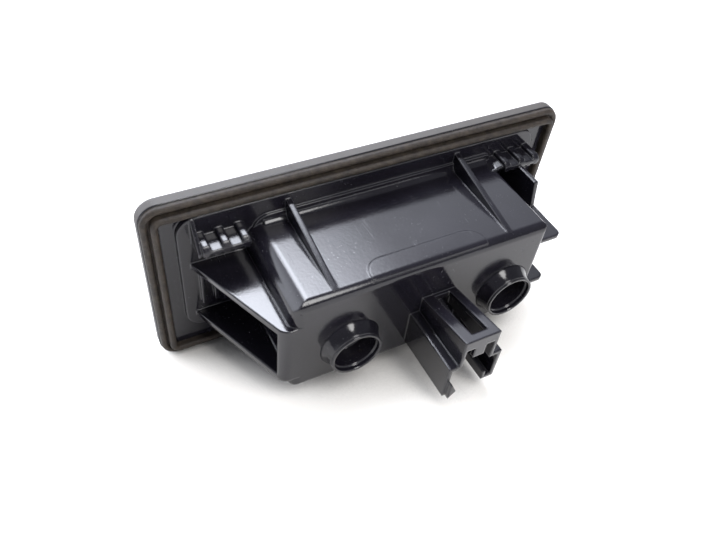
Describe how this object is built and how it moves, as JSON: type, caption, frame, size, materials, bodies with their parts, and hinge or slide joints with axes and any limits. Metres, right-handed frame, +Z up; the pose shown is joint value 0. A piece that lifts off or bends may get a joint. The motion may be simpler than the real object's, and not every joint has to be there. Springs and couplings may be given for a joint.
{
  "type": "number plate lamp",
  "caption": "Vehicle number plate lamp seen from its mounting side: flange with a ribbed seal, hollow light chamber, snap clips, shelves, plug ports and a latch dock",
  "frame": {"origin": "The middle of the flange on the plane where the gasket lies against it, at the mount body_aperture.", "axes": "+X along the flange's length, +Z up towards the edge with the snap clips, +Y the way the lens faces, so the housing reaches back along -Y into the vehicle's body."},
  "size_m": [0.119, 0.0555, 0.053],
  "materials": {
    "housing": "glossy black injection-moulded plastic with fine scratches",
    "gasket": "warm grey-brown soft rubber, dull",
    "lens": "clear polished plastic, fluted inside",
    "reflector": "pale glossy plastic tray",
    "holder": "dark dull plastic",
    "bulb": "clear glass capsule",
    "contact": "bare sheet brass"
  },
  "bodies": {
    "root": {"housing": "housing", "gasket": "gasket", "lens": "lens", "reflector": "reflector", "bulb_holder_left": "holder", "bulb_holder_right": "holder", "bulb_left": "bulb", "bulb_right": "bulb", "contact_1": "contact", "contact_2": "contact", "contact_3": "contact", "contact_4": "contact"}
  },
  "joints": []
}
